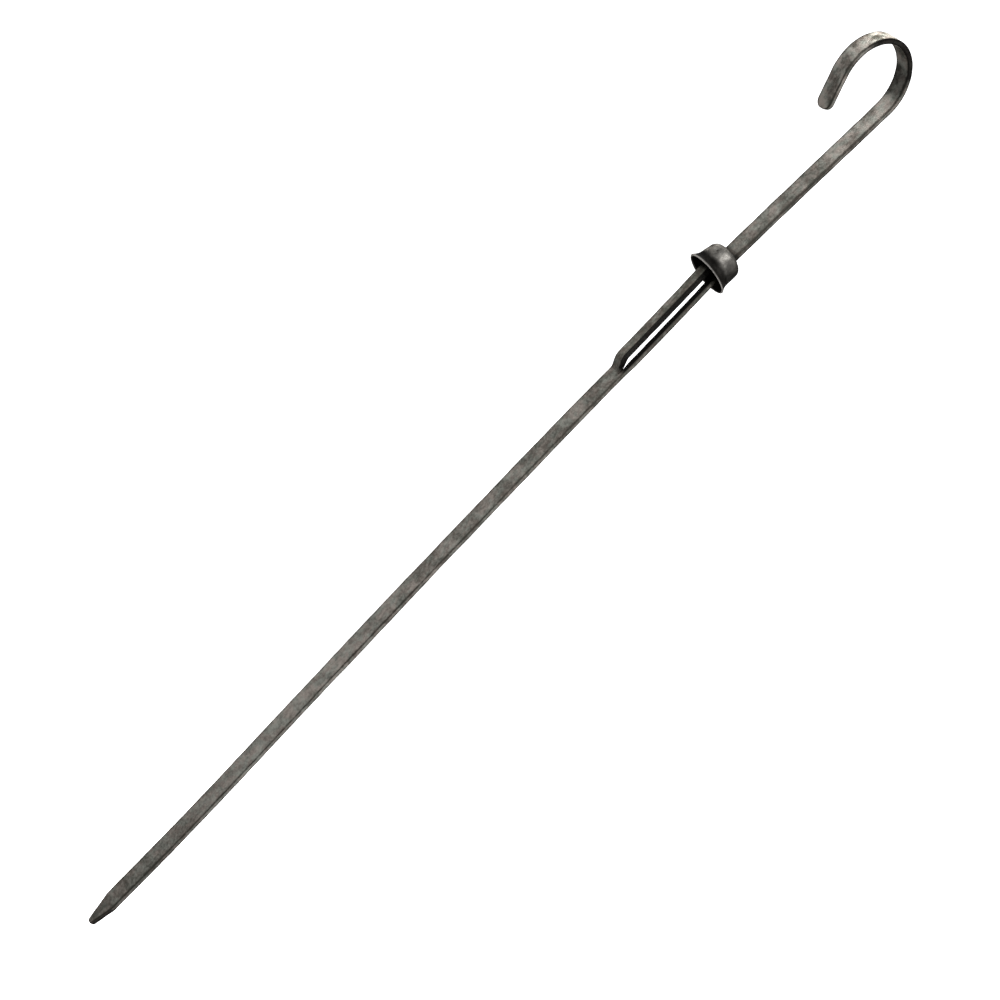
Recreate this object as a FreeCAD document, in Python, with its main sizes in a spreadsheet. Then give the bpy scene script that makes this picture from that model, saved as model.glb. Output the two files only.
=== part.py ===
import FreeCAD, Part
import math
import os
import Sketcher

# Forged flat-bar ground stake with a slit eye, a loose bell and a crook hook.
# Millimetres. +Z runs up the shank from the driven point, which is the origin.
# X is the width of the flat bar and -Y is its front, the side the hook opens to.

# name, value, what it is
DIMENSIONS = [
    ("bar_width", 16.0, "width of the flat bar stock"),
    ("bar_thickness", 5.0, "thickness of the flat bar stock"),
    ("edge_round", 0.9, "radius hammered onto the long edges"),
    ("point_length", 27.0, "height over which the width tapers to the point"),
    ("point_round", 2.9, "radius of the blunt point"),
    ("eye_bottom", 696.0, "height where the slit starts"),
    ("eye_top", 846.0, "height where the slit ends"),
    ("leg_width", 4.3, "width of the narrow leg that stays in line"),
    ("strap_forward", 9.1, "how far the wide strap's middle is drifted forward"),
    ("strap_turn", 18.0, "degrees the strap is turned, slit edge foremost"),
    ("strap_bend", 17.0, "height of each S-bend of the strap"),
    ("lean_height", 826.0, "height where the bar starts to lean back"),
    ("lean_round", 100.0, "radius of the slight backward bend"),
    ("lean_angle", 4.1, "degrees the upper bar leans back"),
    ("hook_height", 1040.5, "height where the hook starts to curl"),
    ("hook_round", 41.8, "radius of the hook at the middle of the bar"),
    ("hook_heading", 208.0, "degrees the hook has curled from straight up"),
    ("tip_length", 35.0, "straight length at the hook's end"),
    ("tip_round", 7.6, "corner radius of the hook's half-round end"),
    ("rim_radius", 22.7, "outer radius of the bell at its rim"),
    ("waist_radius", 19.1, "outer radius of the bell above the flare"),
    ("waist_height", 9.0, "height of the flare"),
    ("shoulder_radius", 18.2, "outer radius of the bell below its shoulder"),
    ("shoulder_height", 20.2, "height where the shoulder starts to round in"),
    ("shoulder_round", 7.6, "radius of the shoulder"),
    ("bell_height", 29.4, "outer height of the bell at its middle"),
    ("bell_wall", 1.9, "wall thickness of the bell"),
    ("rim_round", 0.6, "radius on the rim's two edges"),
    ("slot_gap", 0.9, "gap between the bar and the bell's slot, each side"),
    ("slot_corner", 1.6, "corner radius of the bell's slot"),
    ("rim_height", 817.2, "height of the middle of the bell's rim"),
    ("rim_forward", 4.7, "how far the rim's middle stands in front of the bar"),
    ("bell_tilt", 12.2, "degrees the bell leans back"),
]

BEND_STEPS = 8  # sections of the strap in each S-bend
RUN_STEPS = 4  # stretches of the strap's straight run
CLEAR_OUTSIDE = 3.0  # how far a cutting outline stands clear of the metal
NEARLY = 0.01  # lengths closer than this count as the same
UP = FreeCAD.Vector(0, 0, 1)
SIDEWAYS = FreeCAD.Vector(1, 0, 0)


def make_sheet(doc):
    """Put the driving dimensions into a spreadsheet, one alias each."""
    sheet = doc.addObject("Spreadsheet::Sheet", "dims")
    for row, (name, value, meaning) in enumerate(DIMENSIONS, start=1):
        sheet.set(f"A{row}", name)
        sheet.set(f"B{row}", str(value))
        sheet.setAlias(f"B{row}", name)
        sheet.set(f"C{row}", meaning)
    doc.recompute()


def number(owner, formula):
    """Value of a formula over the sheet's cells, as a plain number."""
    value = owner.evalExpression(formula)
    return float(getattr(value, "Value", value))


def origin_plane(body, role):
    """One of the body's own origin planes, found by its role."""
    return next(item for item in body.Origin.OriginFeatures if item.Role == role)


def sketch_on(body, name, role):
    """A new sketch on one of the body's origin planes."""
    sketch = body.newObject("Sketcher::SketchObject", name)
    sketch.AttachmentSupport = [(origin_plane(body, role), "")]
    sketch.MapMode = "FlatFace"
    return sketch


def line(sketch, start, end):
    """Add a straight edge between two points of the sketch plane."""
    segment = Part.LineSegment(FreeCAD.Vector(*start, 0), FreeCAD.Vector(*end, 0))
    return sketch.addGeometry(segment, False)


def arc(sketch, centre, radius, first, last):
    """Add an arc, counter-clockwise from the first to the last angle in degrees."""
    circle = Part.Circle(FreeCAD.Vector(*centre, 0), UP, radius)
    piece = Part.ArcOfCircle(circle, math.radians(first), math.radians(last))
    return sketch.addGeometry(piece, False)


def drive(sketch, name, formula, kind, *where):
    """Add one dimension to the sketch and bind it to the sheet."""
    value = number(sketch, formula)
    if kind == "Angle":
        value = math.radians(value)
    index = sketch.addConstraint(Sketcher.Constraint(kind, *where, value))
    sketch.renameConstraint(index, name)
    unit = " * 1 deg" if kind == "Angle" else ""
    sketch.setExpression(f"Constraints.{name}", f"({formula}){unit}")


def rule(sketch, kind, *where):
    """Add one geometric constraint to the sketch."""
    sketch.addConstraint(Sketcher.Constraint(kind, *where))


def rectangle(sketch, width, depth):
    """A rectangle about the sketch's own origin, sized by two formulas."""
    half_w = number(sketch, width) / 2
    half_d = number(sketch, depth) / 2
    corners = [(-half_w, -half_d), (half_w, -half_d), (half_w, half_d), (-half_w, half_d)]
    for index, corner in enumerate(corners):
        line(sketch, corner, corners[(index + 1) % 4])
    for index in range(4):
        rule(sketch, "Coincident", index, 2, (index + 1) % 4, 1)
    for index, direction in enumerate(["Horizontal", "Vertical"] * 2):
        rule(sketch, direction, index)
    rule(sketch, "Symmetric", 0, 1, 2, 1, -1, 1)
    drive(sketch, "width", width, "DistanceX", 0, 1, 0, 2)
    drive(sketch, "depth", depth, "DistanceY", 1, 1, 1, 2)


def rounded_rectangle(sketch, width, depth, corner):
    """A rectangle with round corners about the sketch's own origin."""
    half_w = number(sketch, width) / 2
    half_d = number(sketch, depth) / 2
    radius = number(sketch, corner)
    in_w = half_w - radius
    in_d = half_d - radius
    line(sketch, (-in_w, -half_d), (in_w, -half_d))
    arc(sketch, (in_w, -in_d), radius, 270, 360)
    line(sketch, (half_w, -in_d), (half_w, in_d))
    arc(sketch, (in_w, in_d), radius, 0, 90)
    line(sketch, (in_w, half_d), (-in_w, half_d))
    arc(sketch, (-in_w, in_d), radius, 90, 180)
    line(sketch, (-half_w, in_d), (-half_w, -in_d))
    arc(sketch, (-in_w, -in_d), radius, 180, 270)
    for index in range(8):
        rule(sketch, "Tangent", index, 2, (index + 1) % 8, 1)
    for index, direction in zip((0, 2, 4, 6), ["Horizontal", "Vertical"] * 2):
        rule(sketch, direction, index)
    for index in (3, 5, 7):
        rule(sketch, "Equal", 1, index)
    rule(sketch, "Symmetric", 7, 3, 3, 3, -1, 1)
    drive(sketch, "corner", corner, "Radius", 1)
    drive(sketch, "width", width, "DistanceX", 6, 1, 2, 1)
    drive(sketch, "depth", depth, "DistanceY", 0, 1, 4, 1)


def bar_path(body):
    """The line that the middle of the bar follows, from the point to the hook's end."""
    sketch = sketch_on(body, "bar_path", "YZ_Plane")
    lean = number(sketch, "dims.lean_angle")
    lean_rad = math.radians(lean)
    low = number(sketch, "dims.lean_height")
    bend = number(sketch, "dims.lean_round")
    curl = number(sketch, "dims.hook_round")
    heading = number(sketch, "dims.hook_heading")
    heading_rad = math.radians(heading)
    tip = number(sketch, "dims.tip_length")
    leant = (bend * (1 - math.cos(lean_rad)), low + bend * math.sin(lean_rad))
    rise = number(sketch, "dims.hook_height") - leant[1]
    start = (leant[0] + rise * math.tan(lean_rad), leant[1] + rise)
    middle = (start[0] - curl * math.cos(lean_rad), start[1] + curl * math.sin(lean_rad))
    last = (middle[0] + curl * math.cos(heading_rad), middle[1] + curl * math.sin(heading_rad))
    end = (last[0] - tip * math.sin(heading_rad), last[1] + tip * math.cos(heading_rad))
    line(sketch, (0, 0), (0, low))
    arc(sketch, (bend, low), bend, 180 - lean, 180)
    line(sketch, leant, start)
    arc(sketch, middle, curl, -lean, heading)
    line(sketch, last, end)
    rule(sketch, "Coincident", 0, 1, -1, 1)
    rule(sketch, "Vertical", 0)
    rule(sketch, "Tangent", 0, 2, 1, 2)
    rule(sketch, "Tangent", 1, 1, 2, 1)
    rule(sketch, "Tangent", 2, 2, 3, 1)
    rule(sketch, "Tangent", 3, 2, 4, 1)
    drive(sketch, "low", "dims.lean_height", "DistanceY", 0, 1, 0, 2)
    drive(sketch, "bend", "dims.lean_round", "Radius", 1)
    drive(sketch, "lean", "90 - dims.lean_angle", "Angle", 2)
    drive(sketch, "start", "dims.hook_height", "DistanceY", -1, 1, 2, 2)
    drive(sketch, "curl", "dims.hook_round", "Radius", 3)
    drive(sketch, "heading", "dims.hook_heading - 270", "Angle", 4)
    drive(sketch, "tip", "dims.tip_length", "Distance", 4, 1, 4, 2)
    return sketch


def sweep_bar(body):
    """Carry the flat bar's section along its path."""
    profile = sketch_on(body, "bar_section", "XY_Plane")
    rectangle(profile, "dims.bar_width", "dims.bar_thickness")
    path = bar_path(body)
    body.Document.recompute()
    bar = body.newObject("PartDesign::AdditivePipe", "bent_bar")
    bar.Profile = profile
    bar.Spine = (path, [])
    body.Document.recompute()
    return bar


def edges_where(feature, wanted):
    """Names of the feature's edges that the given test picks out."""
    edges = feature.Shape.Edges
    return [f"Edge{index}" for index, edge in enumerate(edges, start=1) if wanted(edge)]


def round_edges(body, name, base, edges, radius):
    """Round the named edges of a feature with a radius from the sheet."""
    fillet = body.newObject("PartDesign::Fillet", name)
    fillet.Base = (base, edges)
    fillet.setExpression("Radius", radius)
    body.Document.recompute()
    return fillet


def round_hook_end(body, bar):
    """Round the two corners of the hook's end into a half-round."""
    thick = number(body, "dims.bar_thickness")
    path_end = body.getObject("bar_path").Shape.Vertexes[-1].Point

    def at_end(edge):
        near = (edge.CenterOfMass - path_end).Length < number(body, "dims.bar_width")
        return near and abs(edge.Length - thick) < NEARLY

    return round_edges(body, "hook_end", bar, edges_where(bar, at_end), "dims.tip_round")


def cut_point(body):
    """Taper the bar's width to the blunt driven point."""
    sketch = sketch_on(body, "point_outline", "XZ_Plane")
    half = number(sketch, "dims.bar_width") / 2
    high = number(sketch, "dims.point_length")
    blunt = number(sketch, "dims.point_round")
    reach = math.hypot(half, high - blunt)
    slope = math.atan2(high - blunt, half) - math.acos(blunt / reach)
    touch = (blunt * math.cos(slope), blunt + blunt * math.sin(slope))
    angle = math.degrees(slope)
    line(sketch, (half, high), touch)
    arc(sketch, (0, blunt), blunt, 180 - angle, 360 + angle)
    line(sketch, (-touch[0], touch[1]), (-half, high))
    far = half + CLEAR_OUTSIDE
    outside = [(-half, high), (-far, high), (-far, -CLEAR_OUTSIDE)]
    outside += [(far, -CLEAR_OUTSIDE), (far, high), (half, high)]
    for start, end in zip(outside, outside[1:]):
        line(sketch, start, end)
    rule(sketch, "Tangent", 0, 2, 1, 2)
    rule(sketch, "Tangent", 1, 1, 2, 1)
    for index in range(2, 8):
        rule(sketch, "Coincident", index, 2, index + 1 if index < 7 else 0, 1)
    for index, direction in zip(range(3, 8), ["Horizontal", "Vertical"] * 2 + ["Horizontal"]):
        rule(sketch, direction, index)
    rule(sketch, "PointOnObject", 1, 3, -2)
    rule(sketch, "Symmetric", 0, 1, 2, 2, -2)
    drive(sketch, "blunt", "dims.point_round", "Radius", 1)
    drive(sketch, "bottom", "dims.point_round", "DistanceY", -1, 1, 1, 3)
    drive(sketch, "width", "dims.bar_width", "DistanceX", 2, 2, 0, 1)
    drive(sketch, "high", "dims.point_length", "DistanceY", -1, 1, 0, 1)
    body.Document.recompute()
    pocket = body.newObject("PartDesign::Pocket", "point")
    pocket.Profile = sketch
    pocket.Type = "ThroughAll"
    pocket.SideType = "Symmetric"
    body.Document.recompute()
    return pocket


def soften_edges(body, shape_before):
    """Round every long edge; the short edges across the thickness stay crisp."""
    thick = number(body, "dims.bar_thickness")
    long_edges = edges_where(shape_before, lambda edge: abs(edge.Length - thick) > NEARLY)
    return round_edges(body, "soft_edges", shape_before, long_edges, "dims.edge_round")


def cut_eye(body):
    """Take the wide strap's stretch out of the bar and leave the narrow leg."""
    sketch = sketch_on(body, "eye_outline", "XZ_Plane")
    side = "dims.bar_width / 2 - dims.leg_width"
    left = number(sketch, "-dims.bar_width")
    right = number(sketch, side)
    low = number(sketch, "dims.eye_bottom")
    high = number(sketch, "dims.eye_top")
    corners = [(left, low), (right, low), (right, high), (left, high)]
    for index, corner in enumerate(corners):
        line(sketch, corner, corners[(index + 1) % 4])
    for index in range(4):
        rule(sketch, "Coincident", index, 2, (index + 1) % 4, 1)
    for index, direction in enumerate(["Horizontal", "Vertical"] * 2):
        rule(sketch, direction, index)
    drive(sketch, "side", side, "DistanceX", -1, 1, 0, 2)
    drive(sketch, "left", "dims.bar_width", "DistanceX", 0, 1, -1, 1)
    drive(sketch, "low", "dims.eye_bottom", "DistanceY", -1, 1, 0, 2)
    drive(sketch, "high", "dims.eye_top", "DistanceY", -1, 1, 2, 1)
    body.Document.recompute()
    pocket = body.newObject("PartDesign::Pocket", "eye")
    pocket.Profile = sketch
    pocket.Type = "ThroughAll"
    pocket.SideType = "Symmetric"
    body.Document.recompute()
    return pocket


def ease(share):
    """Smooth step from 0 to 1: three times the square less twice the cube."""
    return share * share * (3 - 2 * share)


def ease_slope(share):
    """How steeply the smooth step rises at a share of its length."""
    return 6 * share * (1 - share)


def strap_section(body, name, height, share, leant):
    """One level section of the strap, drifted forward by the eased share."""
    sketch = sketch_on(body, name, "XY_Plane")
    steep = f"dims.strap_forward * {ease_slope(share):.5f} / dims.strap_bend"
    depth = f"dims.bar_thickness * sqrt(1 + ({steep}) ^ 2)"
    rounded_rectangle(sketch, "dims.bar_width - dims.leg_width", depth, "dims.edge_round")
    forward = f"dims.strap_forward * {ease(share):.5f}"
    sketch.setExpression("AttachmentOffset.Base.x", "-dims.leg_width / 2")
    sketch.setExpression("AttachmentOffset.Base.y", f"{leant} - {forward}")
    sketch.setExpression("AttachmentOffset.Base.z", height)
    sketch.setExpression("AttachmentOffset.Rotation.Angle", f"-dims.strap_turn * {ease(share):.5f}")
    return sketch


def add_strap(body):
    """Build the drifted strap: an S-bend out, a straight run and an S-bend back."""
    back_at_top = "(dims.eye_top - dims.lean_height - dims.lean_round * tan(dims.lean_angle * 0.5 deg))"
    back_at_top += " * tan(dims.lean_angle * 1 deg)"
    run_low = "dims.eye_bottom + dims.strap_bend"
    run_high = "dims.eye_top - dims.strap_bend"
    stations = []
    for step in range(BEND_STEPS + 1):
        share = step / BEND_STEPS
        height = f"dims.eye_bottom + dims.strap_bend * {share:.5f}"
        stations.append((height, share, "0"))
    for step in range(1, RUN_STEPS):
        share = step / RUN_STEPS
        height = f"({run_low}) * {1 - share:.5f} + ({run_high}) * {share:.5f}"
        stations.append((height, 1, "0"))
    for step in range(BEND_STEPS, -1, -1):
        share = step / BEND_STEPS
        height = f"dims.eye_top - dims.strap_bend * {share:.5f}"
        stations.append((height, share, f"{back_at_top} * {1 - share:.5f}"))
    sections = [strap_section(body, f"strap_{k}", *place) for k, place in enumerate(stations)]
    body.Document.recompute()
    strap = body.newObject("PartDesign::AdditiveLoft", "strap")
    strap.Profile = sections[0]
    strap.Sections = sections[1:]
    strap.Ruled = True
    body.Document.recompute()
    return strap


def make_forged_bar(doc):
    """The whole forging: point, shank, slit eye, upper bar and crook hook."""
    body = doc.addObject("PartDesign::Body", "forged_bar")
    body.Label = "forged_bar"
    bar = sweep_bar(body)
    round_hook_end(body, bar)
    pointed = cut_point(body)
    soft = soften_edges(body, pointed)
    whole = soft.Shape.Volume
    slit = cut_eye(body)
    print("eye cut takes", round(whole - slit.Shape.Volume), "mm3")
    add_strap(body)
    print("strap gives back", round(body.Shape.Volume - slit.Shape.Volume), "mm3")
    return body


def bell_outline(body):
    """Half of the bell's wall: crown, shoulder, side and flare outside, then inside."""
    sketch = sketch_on(body, "bell_outline", "XZ_Plane")
    rim = number(sketch, "dims.rim_radius")
    top = number(sketch, "dims.bell_height")
    wall = number(sketch, "dims.bell_wall")
    waist = (number(sketch, "dims.waist_radius"), number(sketch, "dims.waist_height"))
    shoulder = (number(sketch, "dims.shoulder_radius"), number(sketch, "dims.shoulder_height"))
    rounding = number(sketch, "dims.shoulder_round")
    taper = math.atan2(waist[0] - shoulder[0], shoulder[1] - waist[1])
    out = (math.cos(taper), math.sin(taper))
    inner = (shoulder[0] - rounding * out[0], shoulder[1] - rounding * out[1])
    drop = top - inner[1]
    crown = (inner[0] ** 2 + drop ** 2 - rounding ** 2) / (2 * (drop - rounding))
    meet = math.degrees(math.atan2(crown - drop, inner[0]))
    to_rim = (rim - waist[0], -waist[1])
    flare = (to_rim[0] ** 2 + to_rim[1] ** 2) / (2 * (to_rim[0] * out[0] + to_rim[1] * out[1]))
    middle = (waist[0] + flare * out[0], waist[1] + flare * out[1])
    side = math.degrees(taper)

    def wall_line(inset):
        """The outline's arcs and line, moved into the metal by the inset."""
        lip = 180 + math.degrees(math.asin(middle[1] / (flare + inset)))
        low = (waist[0] - inset * out[0], waist[1] - inset * out[1])
        high = (shoulder[0] - inset * out[0], shoulder[1] - inset * out[1])
        first = arc(sketch, (0, top - crown), crown - inset, meet, 90)
        arc(sketch, inner, rounding - inset, side, meet)
        line(sketch, low, high)
        arc(sketch, middle, flare + inset, 180 + side, lip)
        rule(sketch, "Tangent", first, 1, first + 1, 2)
        rule(sketch, "Tangent", first + 1, 1, first + 2, 2)
        rule(sketch, "Tangent", first + 2, 1, first + 3, 1)
        return middle[0] + (flare + inset) * math.cos(math.radians(lip))

    rim_out = wall_line(0)
    rim_in = wall_line(wall)
    line(sketch, (rim_out, 0), (rim_in, 0))
    line(sketch, (0, top - wall), (0, top))
    for outside in (0, 1, 3):
        rule(sketch, "Coincident", outside, 3, outside + 4, 3)
    rule(sketch, "Parallel", 2, 6)
    rule(sketch, "Coincident", 3, 2, 8, 1)
    rule(sketch, "Coincident", 7, 2, 8, 2)
    rule(sketch, "Coincident", 4, 2, 9, 1)
    rule(sketch, "Coincident", 0, 2, 9, 2)
    rule(sketch, "Horizontal", 8)
    rule(sketch, "Vertical", 9)
    rule(sketch, "PointOnObject", 0, 3, -2)
    rule(sketch, "PointOnObject", 8, 1, -1)
    rule(sketch, "PointOnObject", 9, 2, -2)
    drive(sketch, "rim", "dims.rim_radius", "DistanceX", -1, 1, 3, 2)
    drive(sketch, "top", "dims.bell_height", "DistanceY", -1, 1, 0, 2)
    drive(sketch, "wall", "dims.bell_wall", "DistanceY", 9, 1, 9, 2)
    drive(sketch, "waist_out", "dims.waist_radius", "DistanceX", -1, 1, 2, 1)
    drive(sketch, "waist_up", "dims.waist_height", "DistanceY", -1, 1, 2, 1)
    drive(sketch, "shoulder_out", "dims.shoulder_radius", "DistanceX", -1, 1, 2, 2)
    drive(sketch, "shoulder_up", "dims.shoulder_height", "DistanceY", -1, 1, 2, 2)
    drive(sketch, "rounding", "dims.shoulder_round", "Radius", 1)
    return sketch


def turn_bell(body):
    """Turn the wall's outline once round the bell's own axis."""
    outline = bell_outline(body)
    body.Document.recompute()
    turned = body.newObject("PartDesign::Revolution", "turned_bell")
    turned.Profile = outline
    turned.ReferenceAxis = (outline, ["V_Axis"])
    turned.Angle = 360
    body.Document.recompute()
    return turned


def cut_slot(body):
    """Cut the slot that the flat bar passes through, in the crown."""
    sketch = sketch_on(body, "slot_outline", "XY_Plane")
    skew = "(dims.bell_tilt - dims.lean_angle) * 1 deg"
    width = "dims.bar_width + 2 * dims.slot_gap"
    depth = f"dims.bar_thickness / cos({skew}) + dims.bell_wall * tan({skew}) + 2 * dims.slot_gap"
    rounded_rectangle(sketch, width, depth, "dims.slot_corner")
    sketch.setExpression("AttachmentOffset.Base.z", f"dims.bell_height + {CLEAR_OUTSIDE}")
    body.Document.recompute()
    slot = body.newObject("PartDesign::Pocket", "slot")
    slot.Profile = sketch
    slot.Type = "ThroughAll"
    body.Document.recompute()
    return slot


def make_bell(doc):
    """The loose bell: a thin shell with a flared rim, hung on the bar by its slot."""
    body = doc.addObject("PartDesign::Body", "bell")
    body.Label = "bell"
    turned = turn_bell(body)
    slotted = cut_slot(body)
    print("slot takes", round(turned.Shape.Volume - slotted.Shape.Volume), "mm3")
    rim = edges_where(slotted, lambda edge: edge.BoundBox.ZMax < NEARLY)
    round_edges(body, "rim_edges", slotted, rim, "dims.rim_round")
    body.Placement = FreeCAD.Placement(FreeCAD.Vector(), FreeCAD.Rotation(SIDEWAYS, -1))
    body.setExpression("Placement.Base.y", "-dims.rim_forward")
    body.setExpression("Placement.Base.z", "dims.rim_height")
    body.setExpression("Placement.Rotation.Angle", "-dims.bell_tilt")
    doc.recompute()
    return body


def main():
    """Build the document, check it and write one STEP file per sub-part."""
    doc = FreeCAD.newDocument("ground_stake")
    make_sheet(doc)
    parts = [make_forged_bar(doc), make_bell(doc)]
    doc.recompute()
    for item in doc.Objects:
        if "Invalid" in item.State or "Error" in item.State:
            raise RuntimeError(f"{item.Label} did not recompute: {item.State}")
    os.makedirs("parts", exist_ok=True)
    for part in parts:
        shape = part.Shape
        if shape.isNull() or not shape.isValid() or len(shape.Solids) != 1:
            raise RuntimeError(f"{part.Label} is not one sound solid")
        shape.exportStep(f"parts/{part.Label}.step")
        box = shape.BoundBox
        print(part.Label, round(shape.Volume), "mm3", box)


main()
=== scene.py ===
# %% [markdown]
# # A hand-forged ground stake
#
# The real stake is one length of flat bar that a smith has pointed at the
# bottom, slit and drifted open into an eye, and curled into a crook hook at
# the top. A thin flared bell hangs loose on the bar, with the bar passing
# through a slot in its crown. There are two pieces of steel and nothing else,
# so the work here goes into two good surfaces and their forged finish.
#
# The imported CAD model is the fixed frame. Everything below is worked out in
# millimetres in that frame and is put into Blender in metres.

# %% Load the fixed frame
import math

import bpy
import numpy as np
from mathutils import Matrix, Vector


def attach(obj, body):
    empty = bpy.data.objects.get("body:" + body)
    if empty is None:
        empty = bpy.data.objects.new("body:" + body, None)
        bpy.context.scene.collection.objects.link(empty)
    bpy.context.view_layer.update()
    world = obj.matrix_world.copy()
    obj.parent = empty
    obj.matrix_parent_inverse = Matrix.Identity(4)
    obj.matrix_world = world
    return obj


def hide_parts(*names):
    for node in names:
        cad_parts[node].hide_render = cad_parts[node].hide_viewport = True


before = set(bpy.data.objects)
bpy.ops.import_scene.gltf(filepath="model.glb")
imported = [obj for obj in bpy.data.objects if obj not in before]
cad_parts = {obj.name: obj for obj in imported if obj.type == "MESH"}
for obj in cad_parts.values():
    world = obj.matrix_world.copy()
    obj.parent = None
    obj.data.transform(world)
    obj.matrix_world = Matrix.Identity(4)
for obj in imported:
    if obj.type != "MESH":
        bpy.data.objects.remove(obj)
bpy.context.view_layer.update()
MM = 0.001

# %% [markdown]
# ## Camera
#
# A long slim thing is easiest to judge when it fills the frame from corner to
# corner. The camera stands level with the middle of the stake, 40 degrees
# round from its front, and is rolled until the stake runs diagonally. A lens
# of nearly 87 mm from 2.2 m away keeps the two ends almost the same scale.
# The camera's three axes are worked out first and put into a matrix, because
# a rolled camera is awkward to aim with angles.

# %% The camera
ROUND = math.radians(40)
ROLL = math.radians(46.41)
DISTANCE = 2.2
FIELD = 0.914
SENSOR = 36.0
LOOK_HEIGHT = 0.538
LOOK_ASIDE = 0.00354

UP = Vector((0, 0, 1))
RIGHTWARD = Vector((math.cos(ROUND), math.sin(ROUND), 0))
TO_CAMERA = Vector((math.sin(ROUND), -math.cos(ROUND), 0))
IMAGE_RIGHT = math.cos(ROLL) * UP + math.sin(ROLL) * RIGHTWARD
IMAGE_UP = math.sin(ROLL) * UP - math.cos(ROLL) * RIGHTWARD

look_at = LOOK_HEIGHT * UP + LOOK_ASIDE * RIGHTWARD
camera = bpy.data.objects.new("camera", bpy.data.cameras.new("camera"))
camera.data.sensor_width = SENSOR
camera.data.lens = SENSOR * DISTANCE / FIELD
camera.matrix_world = Matrix.Translation(look_at + DISTANCE * TO_CAMERA) @ (
    Matrix((IMAGE_RIGHT, IMAGE_UP, TO_CAMERA)).transposed().to_4x4()
)
bpy.context.scene.collection.objects.link(camera)
bpy.context.scene.camera = camera
print("lens", round(camera.data.lens, 2), "mm, camera at", tuple(round(x, 3) for x in camera.location))

# %% [markdown]
# ## The middle line of the bar
#
# The bar is straight for most of its length, leans back a little just above
# the eye, runs straight again, curls into the hook and ends in a short
# straight tip. A spline could follow that, but the real shape is made of
# straight runs and round bends, and those have an exact formula. So the line
# is a list of runs, each with a length and a turn.

# %% Runs of the middle line
BAR_WIDTH = 16.0
BAR_THICKNESS = 5.0
EDGE_ROUND = 0.55
LEAN_HEIGHT = 826.0
LEAN_ROUND = 100.0
LEAN = math.radians(4.1)
HOOK_HEIGHT = 1040.5
HOOK_ROUND = 41.8
HOOK_HEADING = math.radians(208)
TIP_LENGTH = 35.0

lean_top = LEAN_HEIGHT + LEAN_ROUND * math.sin(LEAN)
RUNS = [
    (LEAN_HEIGHT, 0.0),
    (LEAN_ROUND * LEAN, -LEAN),
    ((HOOK_HEIGHT - lean_top) / math.cos(LEAN), 0.0),
    (HOOK_ROUND * (HOOK_HEADING + LEAN), HOOK_HEADING + LEAN),
    (TIP_LENGTH, 0.0),
]
BAR_LENGTH = sum(length for length, turn in RUNS)


def middle_line(along):
    """Place (y, z) and heading of the bar's middle line at distances along it.

    Inside a run of constant curvature k the heading is a = a0 + k u, the unit
    tangent is (-sin a, cos a) and its integral is (cos a - cos a0, sin a -
    sin a0) / k. A straight run adds u (-sin a0, cos a0). The place is the sum
    over the runs, with u held between 0 and each run's length.
    """
    place = np.zeros(along.shape + (2,))
    heading = np.zeros(along.shape)
    start = turned = 0.0
    for length, turn in RUNS:
        u = np.clip(along - start, 0.0, length)
        if turn:
            k = turn / length
            a = turned + k * u
            place[..., 0] += (np.cos(a) - math.cos(turned)) / k
            place[..., 1] += (np.sin(a) - math.sin(turned)) / k
            heading += k * u
        else:
            place[..., 0] -= u * math.sin(turned)
            place[..., 1] += u * math.cos(turned)
        start += length
        turned += turn
    return place, heading


hook_end, _ = middle_line(np.array([BAR_LENGTH]))
print("bar is", round(BAR_LENGTH, 1), "mm long and its middle line ends at y, z", hook_end[0].round(1))

# %% [markdown]
# ## Stations along the bar
#
# A station is a place where one ring of points goes round the bar. Even steps
# of about a millimetre and a half carry the forged unevenness, and the steps
# shrink towards both ends, where the outline turns quickly. The slit needs a
# station exactly at each of its ends, so the bar is laid out in three
# stretches: below the eye, the eye, and above it.

# %% Stations of the three stretches
STEP = 1.5
EYE_BOTTOM = 696.0
EYE_TOP_HEIGHT = 846.0
EYE_TOP = LEAN_HEIGHT + LEAN_ROUND * LEAN + (EYE_TOP_HEIGHT - lean_top) / math.cos(LEAN)
EYE_STATIONS = 111
END_ZONE = 9.0
END_STATIONS = 22


def spread(start, end, count):
    """Evenly spaced distances from start to end, both included."""
    return np.linspace(start, end, count)


def into_end(length, count):
    """Distances from 0 to length that crowd towards 0, as 1 - cos does."""
    return length * (1 - np.cos(np.linspace(0, math.pi / 2, count)))


ends = into_end(END_ZONE, END_STATIONS)
below = np.concatenate([ends[:-1], spread(END_ZONE, EYE_BOTTOM, int((EYE_BOTTOM - END_ZONE) / STEP))])
above = np.concatenate([
    spread(EYE_TOP, BAR_LENGTH - END_ZONE, int((BAR_LENGTH - END_ZONE - EYE_TOP) / STEP)),
    (BAR_LENGTH - ends[::-1])[1:],
])
within = spread(EYE_BOTTOM, EYE_TOP, EYE_STATIONS)[1:-1]
print("stations below, in and above the eye:", len(below), len(within), len(above))

# %% [markdown]
# ## The outline of the bar
#
# Seen from the front the bar has two outlines, left and right. Both are half
# the stock's width and about half a millimetre more from the middle, except at
# the driven point, which was drawn down by hand so that its two shoulders are
# not quite level, and at the hook's half-round end. Two stretches stand up to
# 0.3 mm further out. The thickness is a few tenths over the stock's too, and
# closes in at each end, with a small blunt flat left.

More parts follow.
